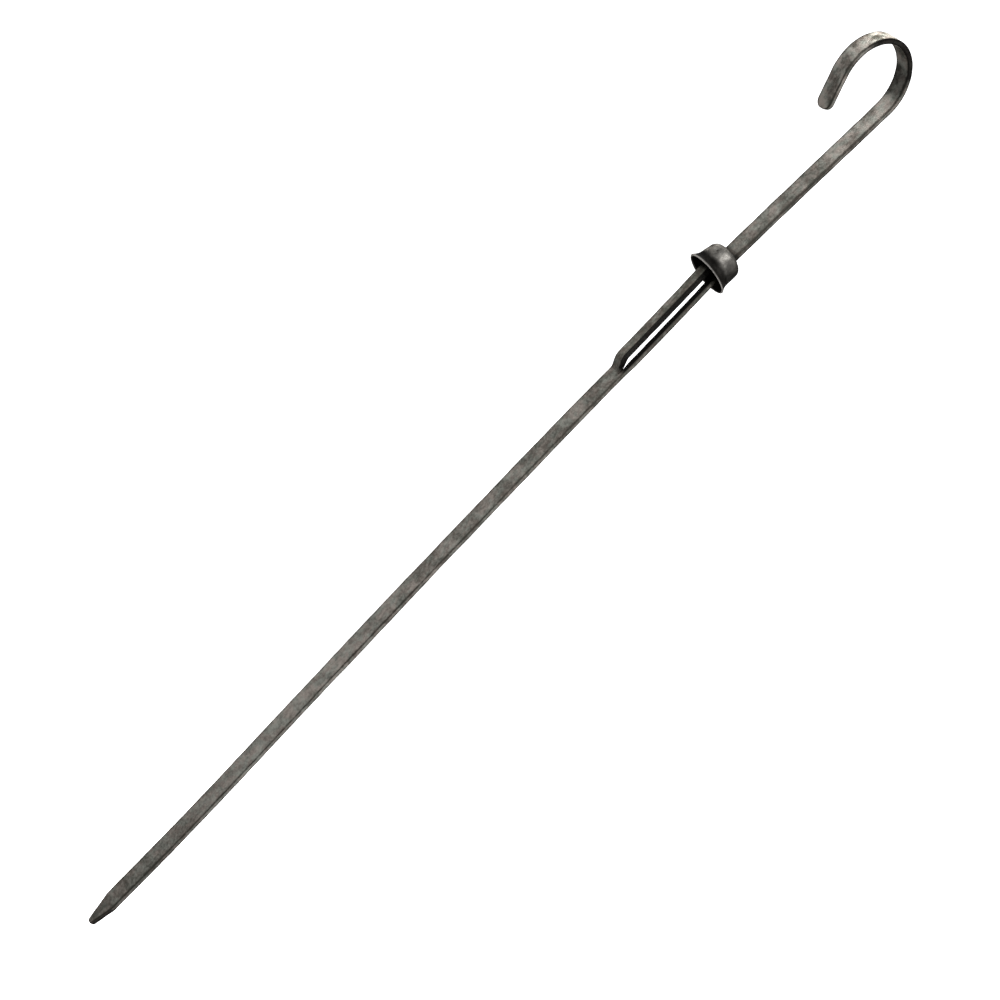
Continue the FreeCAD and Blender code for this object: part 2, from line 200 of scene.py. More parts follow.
# %% Left and right outline, and thickness
SWELL_WIDTH = 0.48
SWELL_THICKNESS = 0.22
HALF_WIDTH = BAR_WIDTH / 2 + SWELL_WIDTH
WIDER_AT = [20, 60, 95, 225, 290, 850, 870, 900, 930]
WIDER = [0.10, 0.15, 0.30, 0.30, 0.0, 0.0, 0.18, 0.18, 0.0]
HALF_THICKNESS = BAR_THICKNESS / 2 + SWELL_THICKNESS
SHOULDER_SOFT = 0.12
POINT_HALF = 2.36
POINT_FLAT = 1.0
POINT_NOSE = 2.2
NOSE_HALF = POINT_HALF + 0.4
SHOULDER_LEFT = 29.0
SHOULDER_RIGHT = 24.5
HOOK_NOSE = 7.8
HOOK_FLAT = 1.2
EDGE_NOSE = 1.1
EDGE_FLAT = 1.6


def rounded_end(distance, nose, flat, full):
    """Half size near an end: flat + (full - flat) times a quarter ellipse.

    With q = distance / nose held to 1, the quarter ellipse is
    sqrt(1 - (1 - q) squared), which leaves the end square on and meets the
    full size without a corner.
    """
    q = np.clip(distance / nose, 0, 1)
    return flat + (full - flat) * np.sqrt(np.clip(1 - (1 - q) ** 2, 0, 1))


def outline(along, shoulder):
    """Distance of one side's outline from the middle: a straight taper from
    the point to the shoulder, then the full half width, with WIDER added and
    closed at both ends.

    The shoulder's corner is softened by taking the smooth minimum of taper
    and half width, -s log(exp(-taper / s) + exp(-half / s)).
    """
    taper = POINT_HALF + (HALF_WIDTH - POINT_HALF) * along / shoulder
    s = SHOULDER_SOFT
    low = np.minimum(taper, HALF_WIDTH)
    wide = low - s * np.log1p(np.exp(-np.abs(taper - HALF_WIDTH) / s))
    nose = rounded_end(along, POINT_NOSE, POINT_FLAT, NOSE_HALF) / NOSE_HALF
    tip = rounded_end(BAR_LENGTH - along, HOOK_NOSE, HOOK_FLAT, HALF_WIDTH) / HALF_WIDTH
    return (wide + np.interp(along, WIDER_AT, WIDER)) * nose * tip


def thickness(along):
    """Half thickness along the bar, closing over EDGE_NOSE at both ends."""
    low = rounded_end(along, EDGE_NOSE, EDGE_FLAT, HALF_THICKNESS)
    high = rounded_end(BAR_LENGTH - along, EDGE_NOSE, EDGE_FLAT, HALF_THICKNESS)
    return np.minimum(low, high)


print("half width at 0, 2, 10, 100 mm:", outline(np.array([0.0, 2.0, 10.0, 100.0]), SHOULDER_LEFT).round(2))

# %% [markdown]
# ## A ring that can be cut in two
#
# The slit parts the bar into a wide strap and a narrow leg. If the whole bar
# were one tube, the eye would need a boolean cut, which leaves a poor mesh.
# Here each ring is made of two half-rings from the start, one for the strap
# and one for the leg, that meet at the slit's line. Below and above the eye
# they are stitched together, and in the eye each is closed by its own wall.
# The leg's half-ring is the strap's turned by half a turn, so one function
# makes both.

# %% One half-ring
CORNER_STEPS = 6
SLIT_STEPS = 3
SIDE_STEPS = 4
WALL_STEPS = 6


def corner_points(corner, before, after, radius, opened, share):
    """Points round one corner of a section, as (stations, points, 2).

    With share f going from 0 to 1 round the corner, a round corner's point is
    corner + r (before (1 - sin(f pi/2)) + after (1 - cos(f pi/2))). A square
    corner's point is corner + r (before max(0, 1 - 2f) + after max(0, 2f - 1)).
    opened mixes square (0) and round (1), so points never bunch up.
    """
    f = share[None, :]
    back = opened[:, None] * (1 - np.sin(f * math.pi / 2))
    back = back + (1 - opened[:, None]) * np.maximum(0, 1 - 2 * f)
    on = opened[:, None] * (1 - np.cos(f * math.pi / 2))
    on = on + (1 - opened[:, None]) * np.maximum(0, 2 * f - 1)
    offset = back[..., None] * np.array(before) + on[..., None] * np.array(after)
    return corner[:, None, :] + radius[:, None, None] * offset


def side_points(start, end, steps):
    """Points strictly between two points: start (1 - f) + end f."""
    f = (np.arange(1, steps) / steps)[None, :, None]
    return start[:, None, :] * (1 - f) + end[:, None, :] * f


def half_ring(half_w, half_d, radius, slit_radius, opened, face_steps):
    """The closed section of the strap about its own middle, slit side at +x.

    It starts in the middle of the back slit corner, goes round the back, the
    far side and the front to the middle of the front slit corner, and comes
    home along the slit's wall. Returns the points and how many of them are
    the outside chain.
    """
    one = np.ones_like(half_w)
    full = np.linspace(0, 1, CORNER_STEPS + 1)
    slit = np.linspace(0, 1, 2 * SLIT_STEPS + 1)
    at = [np.stack([sx * half_w, sy * half_d], -1) for sx, sy in ((1, 1), (-1, 1), (-1, -1), (1, -1))]
    ways = [((0, -1), (-1, 0)), ((1, 0), (0, -1)), ((0, 1), (1, 0)), ((-1, 0), (0, 1))]
    first = corner_points(at[0], *ways[0], slit_radius, opened, slit)
    second = corner_points(at[1], *ways[1], radius, one, full)
    third = corner_points(at[2], *ways[2], radius, one, full)
    fourth = corner_points(at[3], *ways[3], slit_radius, opened, slit)
    chain = [
        first[:, SLIT_STEPS:],
        side_points(first[:, -1], second[:, 0], face_steps),
        second,
        side_points(second[:, -1], third[:, 0], SIDE_STEPS),
        third,
        side_points(third[:, -1], fourth[:, 0], face_steps),
        fourth[:, :SLIT_STEPS + 1],
    ]
    wall = [
        fourth[:, SLIT_STEPS + 1:],
        side_points(fourth[:, -1], first[:, 0], WALL_STEPS),
        first[:, :SLIT_STEPS],
    ]
    count = sum(piece.shape[1] for piece in chain)
    return np.concatenate(chain + wall, 1), count


# %% [markdown]
# ## Strap and leg in place
#
# Through the eye the strap is pushed forward and turned a little about its
# own length, so that its slit edge leads. Both movements ease in and out with
# the smooth step 3u squared less 2u cubed, over one S-bend at each end of the
# eye. The hot metal upsets as it is drifted, so strap and leg come out a few
# tenths thicker than the stock, and the leg bellies out a little. The chisel
# leaves a V at each end of the slit, which the strap's edge is cut back for.

# %% Sections along the bar
LEG_WIDTH = 4.3
STRAP_FORWARD = 9.1
STRAP_TURN = math.radians(18)
STRAP_BEND = 17.0
STRAP_UPSET = 0.25
LEG_UPSET = 0.30
STRAP_ASIDE = 0.45
CROTCH_CUT = 2.3
CROTCH_LEG = 0.5
BEND_START = 0.9
LEG_IN = 0.45
LEG_OUT = 0.45
SLIT_OPENS = 5.0
SLIT_ROUND = 0.25
LEG_FACE_STEPS = 4
STRAP_FACE_STEPS = 12
SLIT_SHARE = (HALF_WIDTH - LEG_WIDTH) / HALF_WIDTH


def smooth_step(u):
    """3u squared less 2u cubed, with u held between 0 and 1."""
    u = np.clip(u, 0, 1)
    return u * u * (3 - 2 * u)


def from_eye_end(along):
    """Distance into the eye from its nearer end, 0 outside it."""
    return np.clip(np.minimum(along - EYE_BOTTOM, EYE_TOP - along), 0, None)


def sections(along):
    """Strap and leg sections in the bar's own (x, n) plane at each station.

    x is across the width and n towards the bar's back. opened goes from 0 at
    the slit's ends to 1 within SLIT_OPENS of them. pushed goes from 0 to 1
    over one S-bend, and starts a little sooner in the lower half of the eye.
    notch is what is open but not yet pushed: the V in each crotch. The strap's
    section is made about its middle, deepened by sqrt(1 + slope squared) so
    that it keeps its thickness square to the S-bend, upset, turned, and moved
    forward. The leg is upset too, and widened by LEG_IN and LEG_OUT.
    """
    left = -outline(along, SHOULDER_LEFT)
    right = outline(along, SHOULDER_RIGHT)
    deep = thickness(along)
    inside = from_eye_end(along)
    opened = smooth_step(inside / SLIT_OPENS)
    slit = SLIT_SHARE * right
    narrow = right - slit
    radius = np.minimum(EDGE_ROUND, 0.55 * narrow)
    slit_radius = np.minimum(SLIT_ROUND, 0.3 * narrow)
    sooner = np.where(along < (EYE_BOTTOM + EYE_TOP) / 2, BEND_START, 1.0)
    u = np.clip(inside / STRAP_BEND, 0, 1) ** sooner
    pushed = smooth_step(u)
    slope = STRAP_FORWARD * 6 * u * (1 - u) / STRAP_BEND
    notch = opened * (1 - pushed)
    strap_right = slit - CROTCH_CUT * notch
    strap_deep = (deep + STRAP_UPSET * pushed) * np.sqrt(1 + slope**2)
    strap, strap_chain = half_ring(
        (strap_right - left) / 2, strap_deep, radius, slit_radius, opened, STRAP_FACE_STEPS
    )
    turn = -STRAP_TURN * pushed
    c, s = np.cos(turn)[:, None], np.sin(turn)[:, None]
    x, n = strap[..., 0], strap[..., 1]
    middle = ((strap_right + left) / 2 + STRAP_ASIDE * pushed)[:, None]
    strap_xn = np.stack([middle + x * c - n * s, x * s + n * c - STRAP_FORWARD * pushed[:, None]], -1)
    leg_left, leg_right = slit - LEG_IN * pushed + CROTCH_LEG * notch, right + LEG_OUT * pushed
    leg, leg_chain = half_ring(
        (leg_right - leg_left) / 2, deep + LEG_UPSET * pushed, radius, slit_radius, opened, LEG_FACE_STEPS
    )
    leg_xn = -leg + np.stack([(leg_left + leg_right) / 2, np.zeros_like(right)], -1)[:, None, :]
    return strap_xn, strap_chain, leg_xn, leg_chain


BOW_AT = [
    0, 30, 50, 93, 136, 179, 221, 307, 393, 436, 522,
    608, 651, 710, 753, 797, 835, 900, 950, 1010, 1250,
]
BOW = [
    -1.1, -1.05, -0.58, 0.27, 0.61, 0.51, 0.06, -0.57, -0.9, -1.08, -0.95,
    -0.51, -0.23, 0.85, 1.1, 1.2, 0.8, 0.55, 0.65, 1.05, 1.1,
]
BOW_SOFT = 14.0
BELL_ASIDE = 0.8


def bow(along):
    """How far the bar is out of straight: the knots BOW joined by lines and
    blurred with a bell curve of BOW_SOFT mm, so that no kink is left."""
    reach = np.arange(-3, 3.01, 0.25)
    weight = np.exp(-(reach**2) / 2)
    near = along[:, None] + BOW_SOFT * reach
    return (np.interp(near, BOW_AT, BOW) * weight).sum(1) / weight.sum()


def to_frame(along, xn):
    """Points (x, n) of each station in the stake's frame, in millimetres.

    The middle line gives place and heading a, n points along (cos a, sin a)
    in (y, z), so the point is (x, y0 + n cos a, z0 + n sin a), moved aside by
    the bow at that station.
    """
    place, heading = middle_line(along)
    aside = bow(along)[:, None]
    x = xn[..., 0] + aside * RIGHTWARD.x
    y = place[:, 0:1] + xn[..., 1] * np.cos(heading)[:, None] + aside * RIGHTWARD.y
    z = place[:, 1:2] + xn[..., 1] * np.sin(heading)[:, None]
    return np.stack([x, y, z], -1)


print("slit line is", round(SLIT_SHARE * HALF_WIDTH, 2), "mm from the middle")

# %% [markdown]
# ## Stitching the forging together
#
# Points are kept in one long list, and each ring is a row of numbers into
# that list. Stitching then means choosing rows that share numbers: the first
# and last rows of the eye reuse the whole bar's points, plus one short line of
# points in each crotch of the slit that strap and leg both use. The result is
# one closed skin with one hole through it, with nothing to weld afterwards.

# %% Rings, crotches and skin
def skin(rows):
    """Quads between neighbouring rows of point numbers, closed round the ring."""
    nxt = np.roll(rows, -1, 1)
    return np.stack([rows[:-1], nxt[:-1], nxt[1:], rows[1:]], -1).reshape(-1, 4)


def fan(ring, middle, reverse):
    """Triangles that close a ring on its middle point."""
    a, b = (np.roll(ring, -1), ring) if reverse else (ring, np.roll(ring, -1))
    return np.stack([a, b, np.full_like(a, middle)], -1)


def whole_rings(along):
    """Strap chain then leg chain of each station, without the two shared points."""
    strap, strap_count, leg, leg_count = sections(along)
    return np.concatenate([strap[:, :strap_count], leg[:, 1:leg_count - 1]], 1)


def forging_mesh():
    """All points of the forging, its quads, its end triangles and its rows."""
    parts = [to_frame(below, whole_rings(below))]
    strap, strap_count, leg, leg_count = sections(within)
    parts += [to_frame(within, strap), to_frame(within, leg)]
    parts.append(to_frame(above, whole_rings(above)))
    at_ends = np.array([EYE_BOTTOM, EYE_TOP])
    crotch = sections(at_ends)[0][:, strap_count:]
    parts.append(to_frame(at_ends, crotch))
    tips = np.array([[[0.0, 0.0]], [[0.0, 0.0]]])
    parts.append(to_frame(np.array([0.0, BAR_LENGTH]), tips))
    starts = np.cumsum([0] + [p.shape[0] * p.shape[1] for p in parts])
    rows = [np.arange(p.shape[0] * p.shape[1]).reshape(p.shape[:2]) + s for p, s in zip(parts, starts)]
    low, strap_rows, leg_rows, high, crotch_rows, tip_rows = rows
    leg_order = np.r_[strap_count - 1, np.arange(strap_count, low.shape[1]), 0]
    strap_all = np.vstack([
        np.r_[low[-1, :strap_count], crotch_rows[0]],
        strap_rows,
        np.r_[high[0, :strap_count], crotch_rows[1]],
    ])
    leg_all = np.vstack([
        np.r_[low[-1, leg_order], crotch_rows[0, ::-1]],
        leg_rows,
        np.r_[high[0, leg_order], crotch_rows[1, ::-1]],
    ])
    quads = np.concatenate([skin(low), skin(strap_all), skin(leg_all), skin(high)])
    tris = np.concatenate([fan(low[0], tip_rows[0, 0], True), fan(high[-1], tip_rows[1, 0], False)])
    points = np.concatenate([p.reshape(-1, 3) for p in parts])
    return points, quads, tris, strap_all, leg_all, strap_count, leg_count


bar_points, bar_quads, bar_tris, strap_rows, leg_rows, strap_chain, leg_chain = forging_mesh()
print("forging:", len(bar_points), "points,", len(bar_quads), "quads,", len(bar_tris), "end triangles")

# %% [markdown]
# ## Forged unevenness
#
# A hand-forged bar is never quite flat. Sculpting every blow would be slow and
# would never come out the same twice. A sum of sine waves with seeded random
# directions, lengths and phases gives a smooth unevenness of any size, and
# shallow round dishes give the marks of single blows. Both move each point
# along the surface's own direction, and mostly inwards, so the bell still has
# room to slide.

# %% Waves, blows and surface directions
def waves(points, seed, shortest, longest, count=24):
    """Smooth random field of about unit size: the sum of count sines
    sin(2 pi d.p / length + phase), with random directions d, divided by
    sqrt(count / 2)."""
    rng = np.random.default_rng(seed)
    direction = rng.normal(size=(count, 3))
    direction /= np.linalg.norm(direction, axis=1, keepdims=True)
    length = rng.uniform(shortest, longest, count)
    phase = rng.uniform(0, 2 * math.pi, count)
    total = np.sin(points @ (2 * math.pi * direction / length[:, None]).T + phase).sum(1)
    return total / math.sqrt(count / 2)


def blows(points, centres, radius):
    """Depth of overlapping dishes: 1 - (distance / radius) squared from the
    nearest centre, held above 0."""
    nearest = np.full(len(points), 1e9)
    for centre in centres:
        nearest = np.minimum(nearest, ((points - centre) ** 2).sum(1))
    return np.clip(1 - nearest / radius**2, 0, None)


def surface_directions(points, quads, tris):
    """Unit outward direction of each point: the sum of its faces' normals."""
    total = np.zeros_like(points)
    across = np.cross(points[quads[:, 2]] - points[quads[:, 0]], points[quads[:, 3]] - points[quads[:, 1]])
    for column in range(4):
        np.add.at(total, quads[:, column], across)
    if len(tris):
        ends = np.cross(points[tris[:, 1]] - points[tris[:, 0]], points[tris[:, 2]] - points[tris[:, 0]])
        for column in range(3):
            np.add.at(total, tris[:, column], ends)
    return total / np.maximum(np.linalg.norm(total, axis=1, keepdims=True), 1e-12)


LONG_WAVE = 0.10
SHORT_WAVE = 0.045
TOOTH = 0.012
BLOW_DEPTH = 0.13
BLOW_RADIUS = 7.0
SETTLE = 0.02
DEEPEST = -0.4
HIGHEST = 0.15

rng = np.random.default_rng(7)
blow_along = np.arange(25.0, BAR_LENGTH - 10, 9.0)
blow_along = blow_along + rng.uniform(-3.5, 3.5, blow_along.shape)
blow_place, blow_heading = middle_line(blow_along)
blow_side = rng.choice([-1.0, 1.0], blow_along.shape) * HALF_THICKNESS
blow_centres = np.stack([
    rng.uniform(-7.5, 7.5, blow_along.shape),
    blow_place[:, 0] + blow_side * np.cos(blow_heading),
    blow_place[:, 1] + blow_side * np.sin(blow_heading),
], -1)

outward = surface_directions(bar_points, bar_quads, bar_tris)
uneven = LONG_WAVE * waves(bar_points, 1, 45, 110) + SHORT_WAVE * waves(bar_points, 2, 9, 22)
uneven += TOOTH * waves(bar_points, 3, 2.5, 5)
uneven -= BLOW_DEPTH * blows(bar_points, blow_centres, BLOW_RADIUS)
uneven = np.clip(uneven - SETTLE, DEEPEST, HIGHEST)
bar_points = bar_points + outward * uneven[:, None]
print("unevenness from", round(uneven.min(), 2), "to", round(uneven.max(), 2), "mm")

# %% [markdown]
# ## Marks for the finish
#
# The finish needs to know where it is: dark scale is left along the long edges, the eye, the bar in and
# under the bell, the inside where the hook's curl starts and the sides of the point are painted black as
# shade, the hook is the most mottled, and how bright the bar is, partly from wear and partly painted light
# and shade, changes along it. Painting that by hand is slow, so each point gets a few numbers now, kept on
# the mesh as named attributes that the material reads.

# %% Edge, eye and handling marks
# RUBBED sets the bar's brightness along its length: partly wear, partly painted light and shade, lowest
# through the eye and under the bell.
RUBBED_AT = [0, 30, 90, 200, 300, 440, 640, 700, 840, 862, 930, 1000, 1100, 1250]
RUBBED = [0.26, 0.30, 0.34, 0.62, 0.62, 0.40, 0.41, 0.25, 0.19, 0.34, 0.36, 0.49, 0.60, 0.60]
MOTTLED_AT = [0, 960, 1060, 1250]
MOTTLED = [0.6, 0.7, 2.1, 2.1]
SCALY_EDGE_AT = [0, 700, 860, 1250]
SCALY_EDGE = [1.0, 1.0, 1.9, 2.2]
EDGE_FALL = 1.1
# The strengths below: STRAP_BLACK, TAPER_BLACK, UNDER_BLACK, HIDDEN_BLACK and CURL_BLACK are painted shade,
# SIDE_BLACK a light scale.
STRAP_BLACK = 0.96
TAPER_BLACK = 0.8
UNDER_BELL = 817
UNDER_BLACK = 0.97
HIDDEN_BLACK = 0.9
CURL_BLACK = 0.62
SIDE_BLACK = 0.28


def per_point(values, rows, size):
    """Spread values given on rows of point numbers over the whole point list."""
    out = np.zeros(size)
    np.maximum.at(out, rows.ravel(), values.ravel())
    return out


def along_of_points():
    """Distance along the bar of every point, in the order of the point list."""
    whole = len(whole_rings(below[:1])[0])
    strap_size = strap_rows.shape[1]
    leg_size = leg_rows.shape[1]
    wall = strap_size - strap_chain
    return np.concatenate([
        np.repeat(below, whole), np.repeat(within, strap_size), np.repeat(within, leg_size),
        np.repeat(above, whole), np.repeat([EYE_BOTTOM, EYE_TOP], wall), [0.0, BAR_LENGTH],
    ])


def edge_nearness():
    """1 on a long edge, falling as exp(-(distance / EDGE_FALL) squared): the
    distance is taken in the section, to the nearer of the outline's corners."""
    def nearness(x, n, left, right, deep):
        dx = np.minimum(x - left[:, None], right[:, None] - x)
        dn = deep[:, None] - np.abs(n)
        return np.exp(-(dx**2 + dn**2) / EDGE_FALL**2)

    values = []
    for along in (below, above):
        ring = whole_rings(along)
        left, right = -outline(along, SHOULDER_LEFT), outline(along, SHOULDER_RIGHT)
        values.append(nearness(ring[..., 0], ring[..., 1], left, right, thickness(along)))
    strap, _, leg, _ = sections(within)
    half = np.full(len(within), (BAR_WIDTH - LEG_WIDTH) / 2)
    flat, _ = half_ring(
        half, thickness(within), np.full(len(within), EDGE_ROUND),
        np.full(len(within), 0.3 * LEG_WIDTH), np.ones(len(within)), STRAP_FACE_STEPS,
    )
    strap_edge = nearness(flat[..., 0], flat[..., 1], -half, half, thickness(within))
    full = np.full(len(within), HALF_WIDTH)
    leg_edge = nearness(leg[..., 0], leg[..., 1], full - LEG_WIDTH, full, thickness(within))
    wall = strap_rows.shape[1] - strap_chain
    return np.concatenate([
        values[0].ravel(), strap_edge.ravel(), leg_edge.ravel(), values[1].ravel(),
        np.zeros(2 * wall), [1.0, 1.0],
    ])


point_along = along_of_points()
edge_mark = edge_nearness()
size = len(bar_points)
# Painted shade in the eye: strap_black blackens the strap's slit wall, leg_black the leg's front face and
# slit wall, where the strap's shadow falls, each fading in over 6 mm from the slit's ends.
open_rows = smooth_step(from_eye_end(np.r_[EYE_BOTTOM, within, EYE_TOP]) / 6.0)[:, None]
strap_wall = np.zeros(strap_rows.shape)
strap_wall[:, strap_chain - 1:] = 1
strap_wall[:, 0] = 1
strap_black = per_point(STRAP_BLACK * strap_wall * open_rows, strap_rows, size)
leg_front = np.zeros(leg_rows.shape)
leg_front[:, :SLIT_STEPS + LEG_FACE_STEPS + CORNER_STEPS - 1] = 1
leg_front[:, leg_chain - 1:] = 1
leg_black = per_point(leg_front * open_rows, leg_rows, size)
# The mark below carries that brightness, partly wear and partly painted light and shade, to every point.
rubbed_mark = np.interp(point_along, RUBBED_AT, RUBBED)
# Painted shade on the point: the mark below darkens the narrow sides of the tapered point, all but their
# front edge.
ring_x = whole_rings(below)[..., 0]
to_side = np.minimum(
    ring_x + outline(below, SHOULDER_LEFT)[:, None], outline(below, SHOULDER_RIGHT)[:, None] - ring_x
)
taper_side = smooth_step(1.3 - to_side / 0.5) * smooth_step((SHOULDER_RIGHT + 0.5 - below) / 2.0)[:, None]
taper_side = taper_side * smooth_step((whole_rings(below)[..., 1] + 2.6) / 2.4)
taper_black = np.zeros(size)
taper_black[:taper_side.size] = TAPER_BLACK * taper_side.ravel()


def scale_and_painted_shade():
    """Black scale where no brush reached, and painted shade, from full to light.

    Under the bell, strap and leg above UNDER_BELL and the bar just over the eye are painted black as the
    bell's shadow. On the hook black scale lies on the two narrow sides round the arch, and the inside where
    the curl starts is painted dark as shade, each faded in and out by the heading of the middle line. The
    narrow sides of the whole upper bar keep a light scale.
    """
    ring = whole_rings(above)
    turned = np.degrees(middle_line(above)[1])[:, None]
    to_edge = outline(above, SHOULDER_RIGHT)[:, None] - np.abs(ring[..., 0])
    side = smooth_step(1.4 - to_edge / 0.6)
    inner = smooth_step(1.6 + (ring[..., 1] + thickness(above)[:, None]) / -0.5)
    arch = smooth_step((turned - 20) / 30) * smooth_step((185 - turned) / 40)
    start = smooth_step((turned - 5) / 20) * smooth_step((75 - turned) / 30)
    hidden = smooth_step((EYE_TOP_HEIGHT - above) / 8 + 1)[:, None]
    high = np.maximum(side * arch, CURL_BLACK * inner * start)
    high = np.maximum(high, SIDE_BLACK * side)
    high = np.maximum(high, HIDDEN_BLACK * hidden)
    low = np.zeros(len(below) * ring.shape[1])
    under_bell = UNDER_BLACK * smooth_step((within - UNDER_BELL) / 3)
    return np.concatenate([
        low, np.repeat(under_bell, strap_rows.shape[1]), np.repeat(under_bell, leg_rows.shape[1]),
        high.ravel(), np.zeros(2 * (strap_rows.shape[1] - strap_chain)), [0.0, 0.0],
    ])


scale_and_shade = scale_and_painted_shade()
edge_mark = edge_mark * np.interp(point_along, SCALY_EDGE_AT, SCALY_EDGE)
print("marks on", size, "points; black in the eye on", int((strap_black + leg_black > 0.5).sum()))

# %% [markdown]
# ## From arrays to a mesh
#
# Blender takes a list of points and a list of faces. The object stays at the
# origin, unturned and unscaled, with its place in its mesh, so that patterns
# on object coordinates stay put when the stake is posed or exported.

# %% Making a piece
def make_piece(name, points, faces, marks, body, node):
    """A smooth mesh piece in metres that rides on a body and replaces a node."""
    mesh = bpy.data.meshes.new(name)
    mesh.from_pydata((points * MM).tolist(), [], faces)
    mesh.polygons.foreach_set("use_smooth", np.ones(len(mesh.polygons), bool))
    for mark, values in marks.items():
        attribute = mesh.attributes.new(mark, "FLOAT", "POINT")
        attribute.data.foreach_set("value", values.astype(np.float32))
    mesh.update()
    piece = bpy.data.objects.new(name, mesh)
    bpy.context.scene.collection.objects.link(piece)
    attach(piece, body)
    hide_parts(node)
    low, high = points.min(0), points.max(0)
    print(name, "box in mm:", low.round(2), high.round(2), "faces:", len(faces))
    return piece


forging = make_piece(
    "forged_stake", bar_points, bar_quads.tolist() + bar_tris.tolist(),
    {
        "edge": edge_mark,
        "black": np.max([strap_black, leg_black, taper_black, scale_and_shade], 0),
        "rubbed": rubbed_mark,
        "mottled": np.interp(point_along, MOTTLED_AT, MOTTLED),
    },
    "stake", "forged_bar",
)

# %% [markdown]
# ## The bell
#
# The bell is a thin shell: a low domed crown with a slot for the bar, a round
# shoulder, a nearly straight side and a flare that ends in a thick rubbed lip.
# It could be a spun curve with a boolean slot. Because the slot is a hole, the
# shell is really a ring-shaped surface: start at the slot's edge, go out over
# the crown, down the outside, round the lip, up the inside and back to the
# slot. So it is one grid, closed both ways, whose rings change from the
# slot's rounded rectangle to circles.

# %% The bell's outline
RIM_RADIUS = 23.3
WAIST = np.array([19.1, 9.0])
SHOULDER = np.array([18.2, 20.2])
SHOULDER_ROUND = 7.6
BELL_HEIGHT = 29.4
BELL_WALL = 1.9
SLOT_GAP = 1.15
SLOT_CORNER = 1.1
RIM_HEIGHT = 817.2
RIM_FORWARD = 4.7
BELL_TILT = math.radians(12.2)
LIP = 0.9
AROUND = 192

taper = math.atan2(WAIST[0] - SHOULDER[0], SHOULDER[1] - WAIST[1])
out = np.array([math.cos(taper), math.sin(taper)])
shoulder_middle = SHOULDER - SHOULDER_ROUND * out
drop = BELL_HEIGHT - shoulder_middle[1]
dome = (shoulder_middle[0] ** 2 + drop**2 - SHOULDER_ROUND**2) / (2 * (drop - SHOULDER_ROUND))
meet = math.atan2(dome - drop, shoulder_middle[0])
to_rim = np.array([RIM_RADIUS, 0.0]) - WAIST
flare = (to_rim @ to_rim) / (2 * (to_rim @ out))
flare_middle = WAIST + flare * out


def arc(middle, radius, start, end, count):
    """Points (radius, height) on an arc, from one angle to another."""
    a = np.linspace(start, end, count)
    return np.stack([middle[0] + radius * np.cos(a), middle[1] + radius * np.sin(a)], -1)


def side_outline(inset):
    """Shoulder, side and flare from the crown down to the lip, moved into the
    metal by inset; the flare stops at the lip's own height."""
    lip_angle = math.pi + math.asin((flare_middle[1] - LIP) / (flare + inset))
    shoulder = arc(shoulder_middle, SHOULDER_ROUND - inset, meet, taper, 17)
    side = np.linspace(SHOULDER - inset * out, WAIST - inset * out, 12)
    low = arc(flare_middle, flare + inset, math.pi + taper, lip_angle, 15)
    return np.concatenate([shoulder, side[1:], low[1:]])


outer = side_outline(0.0)
inner = side_outline(BELL_WALL)
lip_middle = (outer[-1] + inner[-1]) / 2
lip_reach = np.linalg.norm(outer[-1] - inner[-1]) / 2
lip_start = math.atan2(*(outer[-1] - lip_middle)[::-1])
lip = arc(lip_middle, 1.0, lip_start, lip_start - math.pi, 13)
lip = lip_middle + (lip - lip_middle) * (lip_reach + 0.18 * np.sin(np.linspace(0, math.pi, 13)))[:, None]
print("dome radius", round(dome, 2), "flare radius", round(flare, 2), "lip", round(2 * lip_reach, 2), "mm")

# %% The bell's rings
def slot_ring(grow):
    """The slot's rounded rectangle, grown outwards, at even steps of length,
    starting at +x and going anticlockwise."""
    skew = BELL_TILT - LEAN
    half_w = BAR_WIDTH / 2 + SLOT_GAP + grow
    half_d = (BAR_THICKNESS / math.cos(skew) + BELL_WALL * math.tan(skew)) / 2 + SLOT_GAP + grow
    r = SLOT_CORNER + grow
    a = np.linspace(0, math.pi / 2, 60)
    quarter = np.stack([half_w - r + r * np.cos(a), half_d - r + r * np.sin(a)], -1)
    dense = np.concatenate([
        [[half_w, 0.0]], quarter, quarter[::-1] * [-1, 1],
        quarter * [-1, -1], quarter[::-1] * [1, -1], [[half_w, 0.0]],
    ])
    length = np.r_[0, np.cumsum(np.linalg.norm(np.diff(dense, axis=0), axis=1))]
    want = np.arange(AROUND) / AROUND * length[-1]
    return np.stack([np.interp(want, length, dense[:, 0]), np.interp(want, length, dense[:, 1])], -1)


def dome_height(xy, inset):
    """Height of the crown's ball above the bell's rim plane."""
    return BELL_HEIGHT - dome + np.sqrt((dome - inset) ** 2 - (xy**2).sum(-1))


def crown_rings(inset, grow, count):
    """Rings from the slot to the shoulder, with f from 0 to 1: the mix
    (1 - f) slot + f circle, laid on the crown's ball."""
    angle = np.arange(AROUND) / AROUND * 2 * math.pi
    reach = shoulder_middle[0] + (SHOULDER_ROUND - inset) * math.cos(meet)
    circle = reach * np.stack([np.cos(angle), np.sin(angle)], -1)
    f = np.linspace(0, 1, count)[:, None, None]
    xy = (1 - f) * slot_ring(grow) + f * circle
    return np.concatenate([xy, dome_height(xy, inset)[..., None]], -1)


def turned_rings(profile):
    """Each (radius, height) of the profile carried once round the axis."""
    angle = np.arange(AROUND) / AROUND * 2 * math.pi
    r, z = profile[:, :1], profile[:, 1:]
    return np.stack([r * np.cos(angle), r * np.sin(angle), z + 0 * angle], -1)


